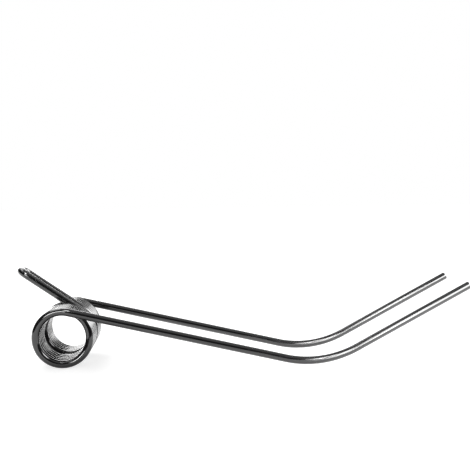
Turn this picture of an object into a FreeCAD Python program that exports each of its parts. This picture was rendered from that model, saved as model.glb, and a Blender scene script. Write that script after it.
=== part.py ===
import FreeCAD, Part
import math
import os
import Sketcher

# Rotary rake tine: one length of round spring wire, bent in a single piece.
# A hairpin bolt loop sits in the middle. Each of its legs runs into a close-wound coil,
# and each coil runs off at its outer end into a long prong with one upward bend.
# Origin: on the coil axis, midway between the two coils. The axis lies along Y,
# the prongs reach along +X and the loop leans back and up, with Z up.
# The piece rests on its two coils and its two prong bends.

NODE = "tine_wire"

# Driving sizes in millimetres and degrees
SIZES = [
    ("wire_diameter", 9.0),
    ("coil_bore", 52.0),
    ("turn_gap", 0.3),
    ("whole_turns", 5.0),
    ("prong_angle", 13.0),
    ("prong_length", 254.2),
    ("bend_radius", 118.0),
    ("tip_angle", 28.2),
    ("tip_length", 148.5),
    ("loop_angle", 34.4),
    ("loop_length", 76.0),
    ("loop_gap", 10.5),
    ("run_out_radius", 150.0),
    ("tip_chamfer", 0.6),
]

# Each turn of the coil's centre line is one smooth piece
TURNS_PER_PIECE = 1.0

# Sizes that follow from the driving ones
FOLLOWING = [
    ("pitch", "App::PropertyLength", "sizes.wire_diameter + sizes.turn_gap"),
    ("coil_radius", "App::PropertyLength", "(sizes.coil_bore + sizes.wire_diameter) / 2"),
    ("turns", "App::PropertyFloat", "sizes.whole_turns + (sizes.prong_angle - sizes.loop_angle) / 360"),
    ("helix_angle", "App::PropertyAngle", "atan(follow.pitch / (2 * pi * follow.coil_radius))"),
    ("run_out_reach", "App::PropertyLength", "sizes.run_out_radius * sin(follow.helix_angle)"),
    ("run_out_shift", "App::PropertyLength", "sizes.run_out_radius * (1 - cos(follow.helix_angle))"),
    ("leg_y", "App::PropertyLength", "(sizes.loop_gap + sizes.wire_diameter) / 2"),
    ("coil_inner_y", "App::PropertyLength", "follow.leg_y + follow.run_out_shift"),
    ("coil_outer_y", "App::PropertyLength", "follow.coil_inner_y + follow.turns * follow.pitch"),
    ("prong_y", "App::PropertyLength", "follow.coil_outer_y + follow.run_out_shift"),
]


def add_sizes(doc):
    """The sheet of driving sizes, and the values that follow from it."""
    sheet = doc.addObject("Spreadsheet::Sheet", "sizes")
    for row, (alias, value) in enumerate(SIZES, start=1):
        cell = "B%d" % row
        sheet.set("A%d" % row, alias)
        sheet.set(cell, str(value))
        sheet.setAlias(cell, alias)
    doc.recompute()
    follow = doc.addObject("App::VarSet", "follow")
    for name, kind, formula in FOLLOWING:
        follow.addProperty(kind, name)
        follow.setExpression(name, formula)
        doc.recompute()
    return sheet, follow


def point(x, y):
    return FreeCAD.Vector(x, y, 0)


def arc_of(centre, radius, start, end):
    """An arc in a sketch, with its angles in radians."""
    return Part.ArcOfCircle(Part.Circle(centre, FreeCAD.Vector(0, 0, 1), radius), start, end)


def bind(sketch, name, formula, *terms):
    """Adds a constraint that has a size, names it and ties it to the sheet."""
    index = sketch.addConstraint(Sketcher.Constraint(*terms))
    sketch.renameConstraint(index, name)
    sketch.setExpression("Constraints." + name, formula)


def add_prong_line(doc, sheet, follow):
    """Centre line of the near prong, in an upright plane: local X is X and local Y is Z."""
    sketch = doc.addObject("Sketcher::SketchObject", "prong_line")
    sketch.setExpression("Placement", "placement(vector(0; -follow.prong_y; 0); rotation(0; 0; 90))")
    radius = follow.coil_radius.Value
    reach = follow.run_out_reach.Value
    fall = math.radians(sheet.prong_angle)
    rise = math.radians(sheet.tip_angle)
    quarter = math.pi / 2
    down = point(math.cos(fall), -math.sin(fall))
    up = point(math.cos(rise), math.sin(rise))
    leave = point(radius * math.sin(fall), radius * math.cos(fall))
    start = leave + down * reach
    corner = leave + down * sheet.prong_length
    middle = corner + point(math.sin(fall), math.cos(fall)) * sheet.bend_radius
    turned = middle + point(math.sin(rise), -math.cos(rise)) * sheet.bend_radius
    tip = turned + up * sheet.tip_length
    spoke = sketch.addGeometry(Part.LineSegment(point(0, 0), leave), True)
    lead = sketch.addGeometry(Part.LineSegment(leave, start), True)
    straight = sketch.addGeometry(Part.LineSegment(start, corner))
    bend = sketch.addGeometry(arc_of(middle, sheet.bend_radius, -quarter - fall, -quarter + rise))
    end = sketch.addGeometry(Part.LineSegment(turned, tip))
    sketch.addConstraint(Sketcher.Constraint("Coincident", spoke, 1, -1, 1))
    sketch.addConstraint(Sketcher.Constraint("Coincident", spoke, 2, lead, 1))
    sketch.addConstraint(Sketcher.Constraint("Coincident", lead, 2, straight, 1))
    sketch.addConstraint(Sketcher.Constraint("Perpendicular", spoke, lead))
    sketch.addConstraint(Sketcher.Constraint("Parallel", lead, straight))
    sketch.addConstraint(Sketcher.Constraint("Tangent", straight, 2, bend, 1))
    sketch.addConstraint(Sketcher.Constraint("Tangent", bend, 2, end, 1))
    bind(sketch, "spoke", "follow.coil_radius", "Distance", spoke, radius)
    bind(sketch, "lead", "follow.run_out_reach", "Distance", lead, reach)
    rest_of_prong = "sizes.prong_length * 1 mm - follow.run_out_reach"
    bind(sketch, "straight", rest_of_prong, "Distance", straight, sheet.prong_length - reach)
    bind(sketch, "bend", "sizes.bend_radius", "Radius", bend, sheet.bend_radius)
    bind(sketch, "tip", "sizes.tip_length", "Distance", end, sheet.tip_length)
    bind(sketch, "fall", "90 deg - sizes.prong_angle * 1 deg", "Angle", spoke, quarter - fall)
    bind(sketch, "rise", "sizes.tip_angle * 1 deg", "Angle", end, rise)
    return sketch


def tangent_plane(angle):
    """Placement of a sketch that touches the coil's top: local X runs down the slope, local Y is Y."""
    spot = "vector(follow.coil_radius * sin(%s); 0; follow.coil_radius * cos(%s))" % (angle, angle)
    return "placement(%s; rotation(0; %s; 0))" % (spot, angle)


def add_prong_run_out(doc, sheet, follow):
    """Short arc that turns the coil's end from its helix angle into the prong's plane."""
    sketch = doc.addObject("Sketcher::SketchObject", "prong_run_out")
    sketch.setExpression("Placement", tangent_plane("sizes.prong_angle * 1 deg"))
    reach = follow.run_out_reach.Value
    side = follow.prong_y.Value
    turn = follow.helix_angle.getValueAs("rad").Value
    quarter = math.pi / 2
    middle = point(reach, sheet.run_out_radius - side)
    arc = sketch.addGeometry(arc_of(middle, sheet.run_out_radius, -quarter - turn, -quarter))
    sketch.addConstraint(Sketcher.Constraint("PointOnObject", arc, 1, -2))
    sketch.addConstraint(Sketcher.Constraint("Vertical", arc, 2, arc, 3))
    bind(sketch, "radius", "sizes.run_out_radius", "Radius", arc, sheet.run_out_radius)
    bind(sketch, "reach", "follow.run_out_reach", "DistanceX", -1, 1, arc, 2, reach)
    bind(sketch, "side", "follow.prong_y", "DistanceY", arc, 2, -1, 1, side)
    return sketch


def add_coil_line(doc):
    """Centre line of the near coil, from its prong end inwards. It turns left-handed."""
    coil = doc.addObject("Part::Helix", "coil_line")
    coil.LocalCoord = "Left-handed"
    coil.Style = "New style"
    coil.SegmentLength = TURNS_PER_PIECE
    coil.setExpression("Pitch", "follow.pitch")
    coil.setExpression("Height", "follow.pitch * follow.turns")
    coil.setExpression("Radius", "follow.coil_radius")
    turned = "rotation(0; sizes.prong_angle * 1 deg - 90 deg; -90 deg)"
    coil.setExpression("Placement", "placement(vector(0; -follow.coil_outer_y; 0); %s)" % turned)
    return coil


def add_loop_line(doc, sheet, follow):
    """Near half of the bolt loop: run-out arc, leg, and a quarter turn that ends on the middle plane."""
    sketch = doc.addObject("Sketcher::SketchObject", "loop_line")
    sketch.setExpression("Placement", tangent_plane("sizes.loop_angle * 1 deg"))
    reach = follow.run_out_reach.Value
    side = follow.leg_y.Value
    turn = follow.helix_angle.getValueAs("rad").Value
    quarter = math.pi / 2
    leg_start = point(-reach, -side)
    leg_end = point(-sheet.loop_length, -side)
    below = point(-reach, -side - sheet.run_out_radius)
    run_out = sketch.addGeometry(arc_of(below, sheet.run_out_radius, quarter - turn, quarter))
    leg = sketch.addGeometry(Part.LineSegment(leg_start, leg_end))
    crown = sketch.addGeometry(arc_of(point(-sheet.loop_length, 0), side, 2 * quarter, 3 * quarter))
    sketch.addConstraint(Sketcher.Constraint("PointOnObject", run_out, 1, -2))
    sketch.addConstraint(Sketcher.Constraint("Tangent", run_out, 2, leg, 1))
    sketch.addConstraint(Sketcher.Constraint("Horizontal", leg))
    sketch.addConstraint(Sketcher.Constraint("Tangent", leg, 2, crown, 2))
    sketch.addConstraint(Sketcher.Constraint("PointOnObject", crown, 3, -1))
    sketch.addConstraint(Sketcher.Constraint("PointOnObject", crown, 1, -1))
    bind(sketch, "radius", "sizes.run_out_radius", "Radius", run_out, sheet.run_out_radius)
    bind(sketch, "reach", "follow.run_out_reach", "DistanceX", leg, 1, -1, 1, reach)
    rest_of_leg = "sizes.loop_length * 1 mm - follow.run_out_reach"
    bind(sketch, "leg", rest_of_leg, "Distance", leg, sheet.loop_length - reach)
    bind(sketch, "crown", "follow.leg_y", "Radius", crown, side)
    return sketch


def add_section(doc):
    """Round wire section, at the crown of the loop and square to it."""
    section = doc.addObject("Part::Circle", "wire_section")
    section.setExpression("Radius", "sizes.wire_diameter / 2")
    angle = "sizes.loop_angle * 1 deg"
    back = "(sizes.loop_length * 1 mm + follow.leg_y)"
    along = "follow.coil_radius * sin(%s) - %s * cos(%s)" % (angle, back, angle)
    upward = "follow.coil_radius * cos(%s) + %s * sin(%s)" % (angle, back, angle)
    section.setExpression("Placement", "placement(vector(%s; 0; %s); rotation(0; 0; 90))" % (along, upward))
    return section


def add_half(doc, section, lines):
    """Near half of the wire: the section swept along the whole centre line."""
    centre_line = doc.addObject("Part::Compound", "centre_line")
    centre_line.Links = lines
    half = doc.addObject("Part::Sweep", "near_half")
    half.Sections = [section]
    half.Spine = (centre_line, [])
    half.Solid = True
    half.Frenet = False
    return half


def add_whole(doc, half):
    """Both halves of the wire, joined on the middle plane."""
    far = doc.addObject("Part::Mirroring", "far_half")
    far.Source = half
    far.Normal = FreeCAD.Vector(0, 1, 0)
    whole = doc.addObject("Part::Fuse", "whole_wire")
    whole.Base = half
    whole.Tool = far
    whole.Refine = True
    return whole


def add_chamfer(doc, sheet, whole):
    """Broken edges on the two square-cut prong ends."""
    edges = enumerate(whole.Shape.Edges, start=1)
    tips = [number for number, edge in edges if is_tip_edge(edge, whole.Shape)]
    tine = doc.addObject("Part::Chamfer", NODE)
    tine.Base = whole
    tine.Edges = [(number, sheet.tip_chamfer, sheet.tip_chamfer) for number in tips]
    return tine


def is_tip_edge(edge, shape):
    """True for the round edge at the free end of a prong: closed, and no wire lies beyond it."""
    beyond = shape.BoundBox.XMax - edge.BoundBox.XMax
    return edge.isClosed() and beyond < edge.BoundBox.DiagonalLength / 2


def check(doc):
    """Stops on any object that did not recompute."""
    for thing in doc.Objects:
        if "Invalid" in thing.State or "Error" in thing.State:
            raise RuntimeError("%s did not recompute: %s" % (thing.Name, thing.State))


def export(tine):
    shape = tine.Shape
    if shape.isNull() or not shape.isValid() or len(shape.Solids) != 1:
        raise RuntimeError("%s is not one valid solid" % tine.Label)
    os.makedirs("parts", exist_ok=True)
    shape.exportStep("parts/%s.step" % tine.Label)
    box = shape.optimalBoundingBox(True, False)
    print("%s: volume %.1f mm3, area %.1f mm2" % (tine.Label, shape.Volume, shape.Area))
    print("size %.2f x %.2f x %.2f mm" % (box.XLength, box.YLength, box.ZLength))


def main():
    doc = FreeCAD.newDocument("rotary_rake_tine")
    sheet, follow = add_sizes(doc)
    lines = [
        add_prong_line(doc, sheet, follow),
        add_prong_run_out(doc, sheet, follow),
        add_coil_line(doc),
        add_loop_line(doc, sheet, follow),
    ]
    half = add_half(doc, add_section(doc), lines)
    whole = add_whole(doc, half)
    doc.recompute()
    check(doc)
    tine = add_chamfer(doc, sheet, whole)
    tine.Label = NODE
    doc.recompute()
    check(doc)
    export(tine)


main()
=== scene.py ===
import math

import bpy
from mathutils import Matrix, Vector


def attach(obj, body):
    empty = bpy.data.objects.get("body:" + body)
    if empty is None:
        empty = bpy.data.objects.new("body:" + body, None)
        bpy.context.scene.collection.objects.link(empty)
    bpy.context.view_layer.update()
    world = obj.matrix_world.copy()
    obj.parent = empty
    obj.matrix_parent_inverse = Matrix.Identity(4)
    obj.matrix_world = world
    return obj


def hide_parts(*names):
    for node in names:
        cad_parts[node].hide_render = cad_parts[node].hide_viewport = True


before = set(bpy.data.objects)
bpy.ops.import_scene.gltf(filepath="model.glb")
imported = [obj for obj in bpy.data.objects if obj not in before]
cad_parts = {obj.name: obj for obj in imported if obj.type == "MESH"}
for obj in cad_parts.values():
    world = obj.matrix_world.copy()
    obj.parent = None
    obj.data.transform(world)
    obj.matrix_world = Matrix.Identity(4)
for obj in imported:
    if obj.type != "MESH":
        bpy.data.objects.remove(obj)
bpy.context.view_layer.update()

# Sizes of the wire's centre line, as in the part's source, in metres and radians
WIRE = 0.009
COIL_INSIDE = 0.052
COIL_RADIUS = (COIL_INSIDE + WIRE) / 2
TURN_GAP = 0.0003
PITCH = WIRE + TURN_GAP
WHOLE_TURNS = 5.0
PRONG_FALL = math.radians(13.0)
PRONG_LENGTH = 0.2542
BEND_RADIUS = 0.118
TIP_RISE = math.radians(28.2)
TIP_LENGTH = 0.1485
TIP_CHAMFER = 0.0006
LOOP_RISE = math.radians(34.4)
LOOP_LENGTH = 0.076
LOOP_GAP = 0.0105
LEG_Y = (LOOP_GAP + WIRE) / 2
RUN_OUT_RADIUS = 0.150

# What follows from them
TURNS = WHOLE_TURNS + (PRONG_FALL - LOOP_RISE) / math.tau
HELIX_ANGLE = math.atan(PITCH / (math.tau * COIL_RADIUS))
RUN_OUT_REACH = RUN_OUT_RADIUS * math.sin(HELIX_ANGLE)
RUN_OUT_SHIFT = RUN_OUT_RADIUS * (1 - math.cos(HELIX_ANGLE))
COIL_INNER_Y = LEG_Y + RUN_OUT_SHIFT
COIL_OUTER_Y = COIL_INNER_Y + TURNS * PITCH
PRONG_Y = COIL_OUTER_Y + RUN_OUT_SHIFT
FLOOR_Z = -(COIL_RADIUS + WIRE / 2)

# How finely the visible wire is drawn
AROUND = 48
RINGS_PER_TURN = 96
RINGS_IN_BEND = 40
RINGS_IN_RUN_OUT = 6
RINGS_IN_CROWN = 14
STRAIGHT_STEP = 0.005

# Coating: its colour between two levels of patchy noise, and how fine the draw lines and ripples are
COATING_DARK = (0.004, 0.0042, 0.0045, 1)
COATING_LIGHT = (0.008, 0.0084, 0.009, 1)
DARK_UP_TO = 0.35
LIGHT_FROM = 0.70
DRAW_LINES = (6.0, 700.0, 700.0)
RIPPLES = 90.0
PATCHES = 55.0

# Floor: how far it reaches, and its colour where lamps light it
FLOOR_REACH = 6.0
FLOOR_FRONT_Y = -0.55
FLOOR_GREY = (0.5, 0.5, 0.5, 1)
WHITE = (1, 1, 1, 1)

# Glow of the floor round a spot: the spot's x and y, the distances from it at which the glow starts and
# stops changing, and the glow up to the first and from the second
# White to the camera, with less glow round the coil's foot: painted shade that deepens its shadow there
SEEN_GLOW_WITH_PAINTED_FOOT_SHADE = (0.02, -0.02, 0.06, 0.18, 0.76, 0.92)
WIDE_GLOW = (0, 0, 0.5, 1.6, 0.66, 0.95)
# Painted pools of light on the floor behind the coil and under the upturned ends, seen only in reflections
PAINTED_LIGHT_BEHIND_COIL = (0.10, 0.25, 0.08, 0.30, 0.7, 0.0)
PAINTED_LIGHT_UNDER_ENDS = (0.52, -0.05, 0.10, 0.28, 0.6, 0.0)
# Painted shade on the floor under and round the coil, seen only in reflections
PAINTED_SHADE_NEAR_COIL = (0.02, -0.02, 0.03, 0.12, 0.25, 1.0)

# World: how bright it is to the camera, as light, and mirrored in front, overhead and in its soft boxes; the
# mirrored levels and boxes are painted reflections that light nothing
SEEN_WORLD = 1.0
WORLD_LIGHT = 0.20
FRONT = 0.04
OVERHEAD = 0.46
FRONT_UP_TO_Z = 0.55
OVERHEAD_FROM_Z = 0.95
# Soft boxes seen only in reflections: painted highlights that light nothing
PAINTED_REFLECTION_BOXES = [
    # name, azimuth, elevation, full within, gone beyond (degrees), strength
    ("backdrop", 180, 0, 45, 80, 0.45),
    ("low_backdrop", 165, -30, 38, 48, 1.0),
    ("back_top", 118, 46, 8, 14, 2.0),
    ("right_near", 62, 38, 7, 14, 6.5),
    ("right_near_middle", 78, 38, 7, 14, 7.5),
    ("right_middle", 94, 34, 10, 16, 8.5),
    ("right_far", 108, 29, 12, 18, 8.0),
]

LAMPS = [
    # name, place, point it faces, width and height, watts, spread in degrees
    ("front_left", (-0.211, -0.605, 0.155), (-0.02, -0.05, 0.03), (0.23, 0.12), 1.05, 180),
    ("top_left", (-0.51, 0.02, 1.20), (0, 0, 0), (0.80, 0.50), 3.0, 180),
    ("back_right", (0.90, 0.75, 0.25), (0, 0, 0), (0.85, 0.50), 2.9, 180),
    ("back_left", (-0.45, 1.0, 0.44), (-0.45, 0, 0.30), (0.9, 0.9), 7.0, 180),
    ("high_back", (-0.23, 0.55, 0.72), (-0.02, 0, 0.03), (0.45, 0.70), 2.0, 180),
    ("crown_box", (-0.035, -0.222, 0.287), (-0.046, -0.014, 0.071), (0.10, 0.12), 0.0200, 26),
    ("end_box", (0.495, -0.35, 0.10), (0.47, 0, 0.02), (0.25, 0.28), 0.47, 80),
]

# Narrow lamps that draw the white line along the bends, all at one distance from a point in line with them
BEND_BOX_AWAY = 0.9
BEND_Z = -0.03
BEND_BOXES = [
    # name, azimuth, elevation, x of the point it faces, width, height, watts, spread in degrees
    ("bend_box_lowest", 1, 6, 0.370, 0.12, 0.25, 0.0127, 14),
    ("bend_box_low", -3, 22, 0.335, 0.13, 0.25, 0.0137, 14),
    ("bend_box_left", -11, 38, 0.335, 0.16, 0.25, 0.0200, 16),
    ("bend_box_right", 2, 38, 0.340, 0.12, 0.22, 0.0185, 14),
    ("bend_box_high", -6, 54, 0.325, 0.20, 0.22, 0.0190, 14),
]

# The photograph's view, solved together with the wire's sizes from its outlines
CAMERA_PLACE = (0.1519, -1.1902, 0.1793)
CAMERA_YAW = math.radians(2.33)
CAMERA_PITCH = math.radians(3.25)
CAMERA_ROLL = math.radians(0.71)
CAMERA_LENS = 76.6
SENSOR_WIDTH = 36.0
NEAREST_SEEN = 0.05
FARTHEST_SEEN = 50.0


def straight(start, end):
    """Points and directions along a straight run."""
    run = end - start
    steps = max(1, round(run.length / STRAIGHT_STEP))
    direction = run.normalized()
    return [(start + run * (i / steps), direction) for i in range(steps + 1)]


def arc(start, direction, centre, angle, steps):
    """Points and directions along an arc that leaves start in the given direction."""
    spoke = start - centre
    axis = spoke.cross(direction).normalized()
    turns = [Matrix.Rotation(angle * i / steps, 3, axis) for i in range(steps + 1)]
    return [(centre + turn @ spoke, turn @ direction) for turn in turns]


def on_coil_top(angle, y):
    """Point and downhill direction on the coil's top, at an angle forward of straight up."""
    point = Vector((COIL_RADIUS * math.sin(angle), y, COIL_RADIUS * math.cos(angle)))
    return point, Vector((math.cos(angle), 0, -math.sin(angle)))


def prong():
    """The near prong's centre line, from its tip to where the coil starts."""
    leave, down = on_coil_top(PRONG_FALL, -PRONG_Y)
    start = leave + down * RUN_OUT_REACH
    corner = leave + down * PRONG_LENGTH
    middle = corner + Vector((math.sin(PRONG_FALL), 0, math.cos(PRONG_FALL))) * BEND_RADIUS
    turned = middle + Vector((math.sin(TIP_RISE), 0, -math.cos(TIP_RISE))) * BEND_RADIUS
    tip = turned + Vector((math.cos(TIP_RISE), 0, math.sin(TIP_RISE))) * TIP_LENGTH
    inward = Vector((-math.cos(TIP_RISE), 0, -math.sin(TIP_RISE)))
    path = straight(tip, turned)
    path += arc(turned, inward, middle, PRONG_FALL + TIP_RISE, RINGS_IN_BEND)[1:]
    path += straight(corner, start)[1:]
    side = start + Vector((0, RUN_OUT_RADIUS, 0))
    path += arc(start, -down, side, HELIX_ANGLE, RINGS_IN_RUN_OUT)[1:]
    return path


def coil():
    """The near coil's centre line, from its outer end inwards."""
    steps = round(TURNS * RINGS_PER_TURN)
    rise = math.sin(HELIX_ANGLE)
    run = math.cos(HELIX_ANGLE)
    path = []
    for i in range(1, steps + 1):
        turned = TURNS * math.tau * i / steps
        point, downhill = on_coil_top(PRONG_FALL - turned, -COIL_OUTER_Y + PITCH * turned / math.tau)
        path.append((point, Vector((0, rise, 0)) - downhill * run))
    return path


def loop():
    """The near half of the bolt loop, from the coil to the middle of its crown."""
    foot, down = on_coil_top(LOOP_RISE, -COIL_INNER_Y)
    up = -down
    leg_start = foot + up * RUN_OUT_REACH + Vector((0, RUN_OUT_SHIFT, 0))
    leg_end = foot + up * LOOP_LENGTH + Vector((0, RUN_OUT_SHIFT, 0))
    side = leg_start - Vector((0, RUN_OUT_RADIUS, 0))
    lean = Matrix.Rotation(-HELIX_ANGLE, 3, (leg_start - side).cross(up).normalized())
    start = side + lean @ (leg_start - side)
    path = arc(start, lean @ up, side, HELIX_ANGLE, RINGS_IN_RUN_OUT)[1:]
    path += straight(leg_start, leg_end)[1:]
    crown = leg_end + Vector((0, LEG_Y, 0))
    path += arc(leg_end, up, crown, math.pi / 2, RINGS_IN_CROWN)[1:]
    return path


def mirrored(path):
    """The far half: the near half seen in the middle plane, walked the other way."""
    flip = Matrix.Diagonal((1, -1, 1))
    return [(flip @ point, -(flip @ direction)) for point, direction in reversed(path)]


def wire_rings(path):
    """Rings square to the wire: middle, two directions across, radius and place along the wire."""
    rings = []
    first = Vector((0, 1, 0))
    along = 0.0
    before = path[0][0]
    for point, direction in path:
        along += (point - before).length
        first = (first - direction * first.dot(direction)).normalized()
        rings.append((point, first, direction.cross(first), WIRE / 2, along))
        before = point
    return rings


def chamfered(rings, inward):
    """The two rings of a prong's cut end: its face and the start of the full wire."""
    point, first, second, radius, along = rings[0]
    face = (point, first, second, radius - TIP_CHAMFER, along)
    full = (point + inward * TIP_CHAMFER, first, second, radius, along)
    return [face, full]


def tube_points(rings):
    """The mesh's points ring by ring, and for each its place along and around the wire."""
    points, places = [], []
    for middle, first, second, radius, along in rings:
        for i in range(AROUND):
            angle = math.tau * i / AROUND
            offset = first * math.cos(angle) + second * math.sin(angle)
            points.append(middle + offset * radius)
            places.append((along, WIRE / 2 * math.cos(angle), WIRE / 2 * math.sin(angle)))
    return points, places


def tube_faces(ring_count):
    """Both cut faces and the band of faces between each ring and the next."""
    faces = [tuple(reversed(range(AROUND)))]
    for ring in range(ring_count - 1):
        low = ring * AROUND
        for i in range(AROUND):
            after = (i + 1) % AROUND
            faces.append((low + i, low + after, low + AROUND + after, low + AROUND + i))
    last = (ring_count - 1) * AROUND
    faces.append(tuple(range(last, last + AROUND)))
    return faces


def mark_sharp_ends(mesh, ring_count):
    """Hard edges round both cut faces and their chamfers."""
    sharp_rings = {0, 1, ring_count - 2, ring_count - 1}
    for edge in mesh.edges:
        ring, other = (v // AROUND for v in edge.vertices)
        edge.use_edge_sharp = ring == other and ring in sharp_rings


def lay_out_uv(mesh, rings):
    """A UV map that runs along the wire in u and round it in v."""
    total = rings[-1][4]
    uv = mesh.uv_layers.new(name="along_and_around")
    for polygon in mesh.polygons:
        corners = [(index, mesh.loops[index].vertex_index) for index in polygon.loop_indices]
        wraps = {v % AROUND for _, v in corners} == {0, AROUND - 1}
        for index, v in corners:
            step = v % AROUND
            turn = 1.0 if wraps and step == 0 else step / AROUND
            uv.data[index].uv = (rings[v // AROUND][4] / total, turn)


def build_wire(name, path):
    """One closed tube round the whole centre line, which keeps its places along the wire for the coating."""
    rings = wire_rings(path)
    near_end = chamfered(rings, path[0][1])
    far_end = chamfered(rings[::-1], -path[-1][1])[::-1]
    rings = near_end + rings[1:-1] + far_end
    points, places = tube_points(rings)
    mesh = bpy.data.meshes.new(name)
    mesh.from_pydata(points, [], tube_faces(len(rings)))
    mesh.shade_smooth()
    place = mesh.attributes.new("wire_place", "FLOAT_VECTOR", "POINT")
    place.data.foreach_set("vector", [value for row in places for value in row])
    mark_sharp_ends(mesh, len(rings))
    lay_out_uv(mesh, rings)
    mesh.update()
    piece = bpy.data.objects.new(name, mesh)
    bpy.context.scene.collection.objects.link(piece)
    return piece


def node_adder(tree):
    """A helper that adds a node to a tree, with the values of its sockets and its settings."""
    def add(kind, sockets=None, **settings):
        node = tree.nodes.new(kind)
        for key, value in settings.items():
            setattr(node, key, value)
        for key, value in (sockets or {}).items():
            node.inputs[key].default_value = value
        return node

    return add


def new_material(name):
    """An empty node material, its links and the helper that adds its nodes."""
    material = bpy.data.materials.new(name)
    material.use_nodes = True
    material.node_tree.nodes.clear()
    return material, material.node_tree.links, node_adder(material.node_tree)


def combined(links, add, operation, first, second):
    """Two values added or multiplied, or the larger of them."""
    node = add("ShaderNodeMath", operation=operation)
    links.new(first, node.inputs[0])
    links.new(second, node.inputs[1])
    return node.outputs["Value"]


def soft_change(links, add, value, start, stop, before, after):
    """A level that goes softly from one to another while a value goes from start to stop."""
    levels = {"From Min": start, "From Max": stop, "To Min": before, "To Max": after}
    change = add("ShaderNodeMapRange", levels, interpolation_type="SMOOTHSTEP")
    links.new(value, change.inputs["Value"])
    return change.outputs["Result"]


def in_reflection(links, add, path):
    """One where a ray comes off gloss or through glass, otherwise nought."""
    return combined(links, add, "MAXIMUM", path.outputs["Is Glossy Ray"], path.outputs["Is Transmission Ray"])


def add_bumps(links, add, lines, ripple, shader):
    """Draw lines and ripples as slight bumps, under the clear coat and in it."""
    fine = add("ShaderNodeBump", {"Strength": 0.03, "Distance": 0.00003})
    links.new(lines.outputs["Fac"], fine.inputs["Height"])
    soft = add("ShaderNodeBump", {"Strength": 0.02, "Distance": 0.0001})
    links.new(ripple.outputs["Fac"], soft.inputs["Height"])
    links.new(fine.outputs["Normal"], soft.inputs["Normal"])
    links.new(soft.outputs["Normal"], shader.inputs["Normal"])
    links.new(soft.outputs["Normal"], shader.inputs["Coat Normal"])


def coated_steel():
    """Glossy black coating on drawn wire: faint draw lines, a soft ripple, and small patches of tone."""
    material, links, add = new_material("coated_spring_steel")
    out = add("ShaderNodeOutputMaterial")
    shader = add("ShaderNodeBsdfPrincipled", {
        "Metallic": 0.0,
        "IOR": 1.65,
        "Specular IOR Level": 0.5,
        "Coat Weight": 1.0,
        "Coat Roughness": 0.04,
        "Coat IOR": 1.5,
    })
    links.new(shader.outputs["BSDF"], out.inputs["Surface"])

    place = add("ShaderNodeAttribute", attribute_name="wire_place")
    stretch = add("ShaderNodeMapping", {"Scale": DRAW_LINES})
    links.new(place.outputs["Vector"], stretch.inputs["Vector"])
    lines = add("ShaderNodeTexNoise", {"Scale": 1.0, "Detail": 4.0, "Roughness": 0.6})
    links.new(stretch.outputs["Vector"], lines.inputs["Vector"])

    body = add("ShaderNodeTexCoord")
    ripple = add("ShaderNodeTexNoise", {"Scale": RIPPLES, "Detail": 2.0, "Roughness": 0.5})
    links.new(body.outputs["Object"], ripple.inputs["Vector"])
    patches = add("ShaderNodeTexNoise", {"Scale": PATCHES, "Detail": 5.0, "Roughness": 0.65})
    links.new(body.outputs["Object"], patches.inputs["Vector"])

    tone = add("ShaderNodeValToRGB")
    dark, light = tone.color_ramp.elements
    dark.position = DARK_UP_TO
    dark.color = COATING_DARK
    light.position = LIGHT_FROM
    light.color = COATING_LIGHT
    links.new(patches.outputs["Fac"], tone.inputs["Fac"])
    links.new(tone.outputs["Color"], shader.inputs["Base Color"])

    dull = add("ShaderNodeMapRange", {"From Min": 0.3, "From Max": 0.75, "To Min": 0.08, "To Max": 0.14})
    links.new(lines.outputs["Fac"], dull.inputs["Value"])
    links.new(dull.outputs["Result"], shader.inputs["Roughness"])
    add_bumps(links, add, lines, ripple, shader)
    return material


def glow_round(links, add, x, y, start, stop, close, beyond):
    """A level that goes softly from one to another with the distance from a spot on the floor."""
    place = add("ShaderNodeNewGeometry")
    away = add("ShaderNodeVectorMath", {1: (x, y, FLOOR_Z)}, operation="DISTANCE")
    links.new(place.outputs["Position"], away.inputs[0])
    return soft_change(links, add, away.outputs["Value"], start, stop, close, beyond)


def white_floor():
    """Matt floor that keeps the object's shadow and glows: white to the camera with painted shade round the
    coil's foot; in reflections uneven, with painted pools of light behind the coil and under the ends and
    painted shade under the coil.
    """
    material, links, add = new_material("studio_floor")
    out = add("ShaderNodeOutputMaterial")
    matt = add("ShaderNodeBsdfDiffuse", {"Color": FLOOR_GREY})
    glow = add("ShaderNodeEmission", {"Color": WHITE})
    path = add("ShaderNodeLightPath")
    # Glow the camera sees, lower round the coil's foot as painted shade
    white = glow_round(links, add, *SEEN_GLOW_WITH_PAINTED_FOOT_SHADE)
    seen = combined(links, add, "MULTIPLY", white, path.outputs["Is Camera Ray"])

    # Floor as mirrored: its glow plus painted pools of light, times painted shade near the coil
    reflected_glow_with_painted_light = glow_round(links, add, *WIDE_GLOW)
    for spot in (PAINTED_LIGHT_BEHIND_COIL, PAINTED_LIGHT_UNDER_ENDS):
        reflected_glow_with_painted_light = combined(links, add, "ADD", reflected_glow_with_painted_light, glow_round(links, add, *spot))
    # Painted shade under the coil, in reflections only
    reflected_glow_with_painted_light = combined(links, add, "MULTIPLY", reflected_glow_with_painted_light, glow_round(links, add, *PAINTED_SHADE_NEAR_COIL))
    reflected = combined(links, add, "MULTIPLY", reflected_glow_with_painted_light, in_reflection(links, add, path))

    links.new(combined(links, add, "ADD", seen, reflected), glow.inputs["Strength"])
    both = add("ShaderNodeAddShader")
    links.new(matt.outputs["BSDF"], both.inputs[0])
    links.new(glow.outputs["Emission"], both.inputs[1])
    links.new(both.outputs["Shader"], out.inputs["Surface"])
    return material


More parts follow.
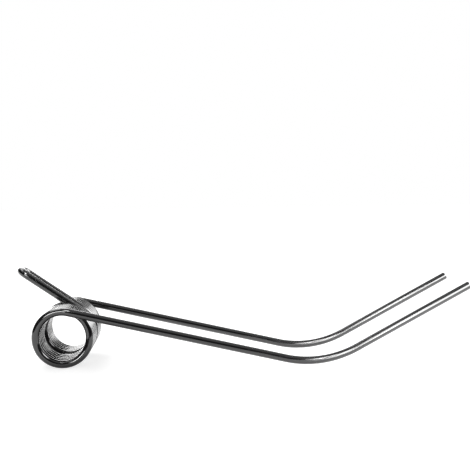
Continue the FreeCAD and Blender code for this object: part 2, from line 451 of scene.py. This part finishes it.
def add_floor():
    """One flat sheet under the coil, whose front edge stays out of the view."""
    left, right, back = -FLOOR_REACH, FLOOR_REACH, FLOOR_REACH
    corners = [(left, FLOOR_FRONT_Y), (right, FLOOR_FRONT_Y), (right, back), (left, back)]
    mesh = bpy.data.meshes.new("studio_floor")
    mesh.from_pydata([(x, y, FLOOR_Z) for x, y in corners], [], [(0, 1, 2, 3)])
    mesh.materials.append(white_floor())
    floor = bpy.data.objects.new("studio_floor", mesh)
    bpy.context.scene.collection.objects.link(floor)


def heading(azimuth, elevation):
    """Unit direction: azimuth 0 looks along -Y and grows towards +X, both in degrees."""
    a = math.radians(azimuth)
    e = math.radians(elevation)
    return (math.sin(a) * math.cos(e), -math.cos(a) * math.cos(e), math.sin(e))


def painted_reflection_room(links, add):
    """Painted reflection of a room by direction, seen only in gloss and lighting nothing: dim in front, grey
    overhead, with a backdrop and soft boxes that make painted highlights.
    """
    coordinate = add("ShaderNodeTexCoord")
    split = add("ShaderNodeSeparateXYZ")
    links.new(coordinate.outputs["Generated"], split.inputs["Vector"])
    total = soft_change(links, add, split.outputs["Z"], FRONT_UP_TO_Z, OVERHEAD_FROM_Z, FRONT, OVERHEAD)
    for name, azimuth, elevation, full, gone, strength in PAINTED_REFLECTION_BOXES:
        middle = heading(azimuth, elevation)
        close = add("ShaderNodeVectorMath", {1: middle}, operation="DOT_PRODUCT", name=name)
        links.new(coordinate.outputs["Generated"], close.inputs[0])
        edge = math.cos(math.radians(gone))
        inside = math.cos(math.radians(full))
        box = soft_change(links, add, close.outputs["Value"], edge, inside, 0.0, strength)
        total = combined(links, add, "MAXIMUM", total, box)
    return total


def add_world():
    """White where it is seen, a painted reflection of a studio room with soft boxes where it is mirrored, and
    a soft grey where it only lights.
    """
    world = bpy.data.worlds.new("studio")
    world.use_nodes = True
    world.node_tree.nodes.clear()
    links = world.node_tree.links
    add = node_adder(world.node_tree)
    out = add("ShaderNodeOutputWorld")
    light = add("ShaderNodeBackground", {"Color": WHITE})
    path = add("ShaderNodeLightPath")
    unseen = add("ShaderNodeMix", {2: WORLD_LIGHT})
    # Reflections see the painted room; rays that only light get the even grey
    links.new(in_reflection(links, add, path), unseen.inputs[0])
    links.new(painted_reflection_room(links, add), unseen.inputs[3])
    level = add("ShaderNodeMix", {3: SEEN_WORLD})
    links.new(path.outputs["Is Camera Ray"], level.inputs[0])
    links.new(unseen.outputs[0], level.inputs[2])
    links.new(level.outputs[0], light.inputs["Strength"])
    links.new(light.outputs["Background"], out.inputs["Surface"])
    bpy.context.scene.world = world


def add_lamp(name, place, target, size, watts, spread):
    """A soft rectangular lamp that faces a point and isn't seen itself."""
    data = bpy.data.lights.new(name, "AREA")
    data.shape = "RECTANGLE"
    data.size, data.size_y = size
    data.energy = watts
    data.spread = math.radians(spread)
    lamp = bpy.data.objects.new(name, data)
    lamp.location = place
    lamp.rotation_mode = "QUATERNION"
    ahead = (Vector(target) - Vector(place)).normalized()
    lamp.rotation_quaternion = ahead.to_track_quat("-Z", "Y")
    lamp.visible_camera = False
    bpy.context.scene.collection.objects.link(lamp)


def add_lamps():
    """The wide soft lamps, and the narrow ones over the bends."""
    for lamp in LAMPS:
        add_lamp(*lamp)
    for name, azimuth, elevation, x, width, height, watts, spread in BEND_BOXES:
        target = Vector((x, 0, BEND_Z))
        place = target + Vector(heading(azimuth, elevation)) * BEND_BOX_AWAY
        add_lamp(name, place, target, (width, height), watts, spread)


def add_camera():
    """The photograph's view: in front of the near coil, a little above, looking along +Y."""
    level = math.cos(CAMERA_PITCH)
    ahead = Vector((math.sin(CAMERA_YAW) * level, math.cos(CAMERA_YAW) * level, -math.sin(CAMERA_PITCH)))
    right = Vector((math.cos(CAMERA_YAW), -math.sin(CAMERA_YAW), 0))
    down = ahead.cross(right)
    tilted_right = right * math.cos(CAMERA_ROLL) + down * math.sin(CAMERA_ROLL)
    tilted_down = down * math.cos(CAMERA_ROLL) - right * math.sin(CAMERA_ROLL)
    turn = Matrix((tilted_right, -tilted_down, -ahead)).transposed()
    data = bpy.data.cameras.new("camera")
    data.sensor_width = SENSOR_WIDTH
    data.lens = CAMERA_LENS
    data.clip_start = NEAREST_SEEN
    data.clip_end = FARTHEST_SEEN
    camera = bpy.data.objects.new("camera", data)
    camera.matrix_world = Matrix.Translation(CAMERA_PLACE) @ turn.to_4x4()
    bpy.context.scene.collection.objects.link(camera)
    bpy.context.scene.camera = camera


near_half = prong() + coil() + loop()
wire = build_wire("rake_tine_wire", near_half + mirrored(near_half)[1:])
wire.data.materials.append(coated_steel())
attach(wire, "root")
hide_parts("tine_wire")

add_floor()
add_world()
add_lamps()
add_camera()
bpy.context.scene.view_settings.view_transform = "Standard"
